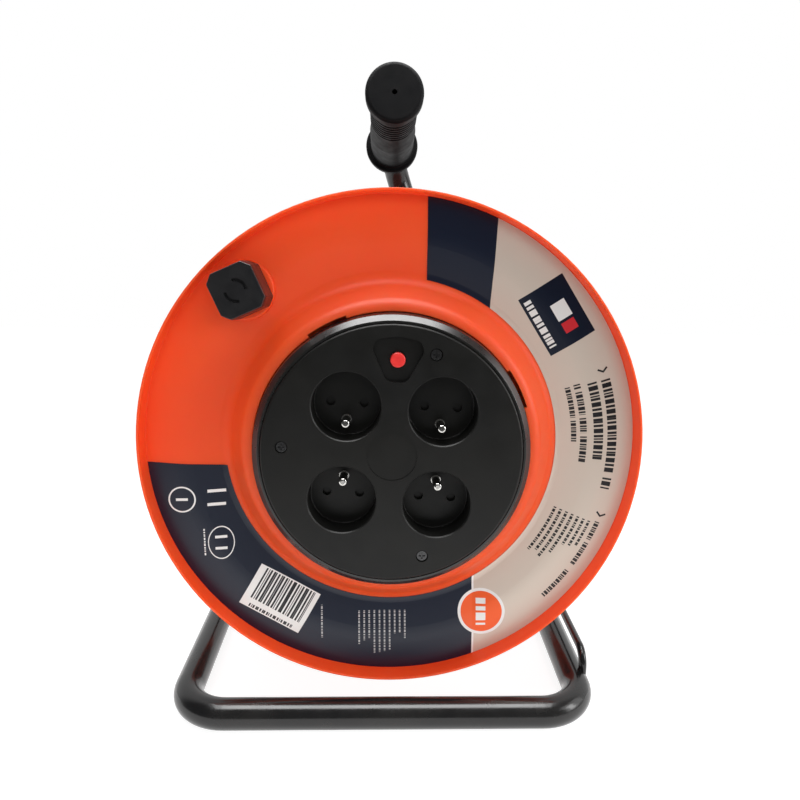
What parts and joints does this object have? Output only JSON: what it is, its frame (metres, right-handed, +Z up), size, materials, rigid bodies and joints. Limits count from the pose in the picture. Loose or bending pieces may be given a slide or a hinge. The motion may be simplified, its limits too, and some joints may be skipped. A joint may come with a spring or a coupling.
{
  "type": "extension cord reel",
  "caption": "Cable reel with an orange drum, a black plate of earthed sockets, a winding knob and a bent tube stand whose arm ends in a ringed grip.",
  "frame": {"origin": "on the floor, in the middle of the reel's width and depth", "axes": "+Z up, the sockets face -Y, +X to the right seen from the front; the drum turns about a line along Y"},
  "size_m": [0.29, 0.2185, 0.3848],
  "materials": {
    "gloss_black_paint": "gloss black powder coat",
    "orange_plastic": "satin moulded orange",
    "black_plastic": "fine-grained moulded black",
    "cable_jacket": "smooth black jacket",
    "zinc_steel": "bright zinc plate",
    "bright_nickel": "polished nickel plate",
    "contact_brass": "stamped brass",
    "navy_print": "printed sheet, navy and silver",
    "red_plastic": "moulded red",
    "grey_plastic": "dark moulded"
  },
  "bodies": {
    "stand": {"frame_tube": "gloss_black_paint", "hub_plate": "gloss_black_paint", "frame_bolts": "zinc_steel", "frame_nuts": "zinc_steel", "handle_grip": "black_plastic", "cable_guide": "gloss_black_paint", "axle": "zinc_steel", "axle_screws": "zinc_steel", "axle_nuts": "zinc_steel", "thrust_washer": "zinc_steel", "end_washer": "zinc_steel", "end_screw": "zinc_steel"},
    "drum": {"drum_front": "orange_plastic", "drum_rear": "orange_plastic", "drum_screws": "zinc_steel", "front_bush": "black_plastic", "rear_bush": "black_plastic", "label": "navy_print", "socket_collar": "black_plastic", "socket_plate": "black_plastic", "plate_screws": "zinc_steel", "socket_housing": "black_plastic", "contact_carrier": "black_plastic", "earth_bar": "contact_brass", "live_bar": "contact_brass", "neutral_bar": "contact_brass", "live_clips": "contact_brass", "neutral_clips": "contact_brass", "cutout_body": "black_plastic", "knob_spindle": "zinc_steel", "knob_clip": "zinc_steel", "winding_core": "cable_jacket", "winding_outer": "cable_jacket", "plug_body": "cable_jacket", "plug_pins": "bright_nickel", "plug_relief": "cable_jacket", "inner_lead": "cable_jacket", "cable_gland": "black_plastic", "gland_nut": "black_plastic", "earth_pin_1": "bright_nickel", "earth_pin_2": "bright_nickel", "earth_pin_3": "bright_nickel", "earth_pin_4": "bright_nickel"},
    "knob": {"knob": "black_plastic", "knob_cap": "black_plastic"},
    "button": {"cutout_button": "red_plastic"},
    "upper_left_shutter": {"shutter_1": "grey_plastic"},
    "upper_right_shutter": {"shutter_2": "grey_plastic"},
    "lower_left_shutter": {"shutter_3": "grey_plastic"},
    "lower_right_shutter": {"shutter_4": "grey_plastic"}
  },
  "joints": [
    {"name": "drum_spin", "type": "hinge", "parent": "stand", "child": "drum", "pos_m": [0, 0, 0.166], "axis": [0, -1, 0], "continuous": true},
    {"name": "knob_spin", "type": "hinge", "parent": "drum", "child": "knob", "pos_m": [-0.08368, -0.08625, 0.25574], "axis": [0, -1, 0], "continuous": true},
    {"name": "button_slide", "type": "slide", "parent": "drum", "child": "button", "axis": [0, -1, 0], "range_m": [0, 0.003]},
    {"name": "upper_left_shutter_slide", "type": "slide", "parent": "drum", "child": "upper_left_shutter", "axis": [0.048, 0, 0.9988], "range_m": [0, 0.0065], "stiffness_N_per_m": 60, "springref_m": -0.003},
    {"name": "upper_right_shutter_slide", "type": "slide", "parent": "drum", "child": "upper_right_shutter", "axis": [0.048, 0, 0.9988], "range_m": [0, 0.0065], "stiffness_N_per_m": 60, "springref_m": -0.003},
    {"name": "lower_left_shutter_slide", "type": "slide", "parent": "drum", "child": "lower_left_shutter", "axis": [-0.048, 0, -0.9988], "range_m": [0, 0.0065], "stiffness_N_per_m": 60, "springref_m": -0.003},
    {"name": "lower_right_shutter_slide", "type": "slide", "parent": "drum", "child": "lower_right_shutter", "axis": [-0.048, 0, -0.9988], "range_m": [0, 0.0065], "stiffness_N_per_m": 60, "springref_m": -0.003}
  ]
}
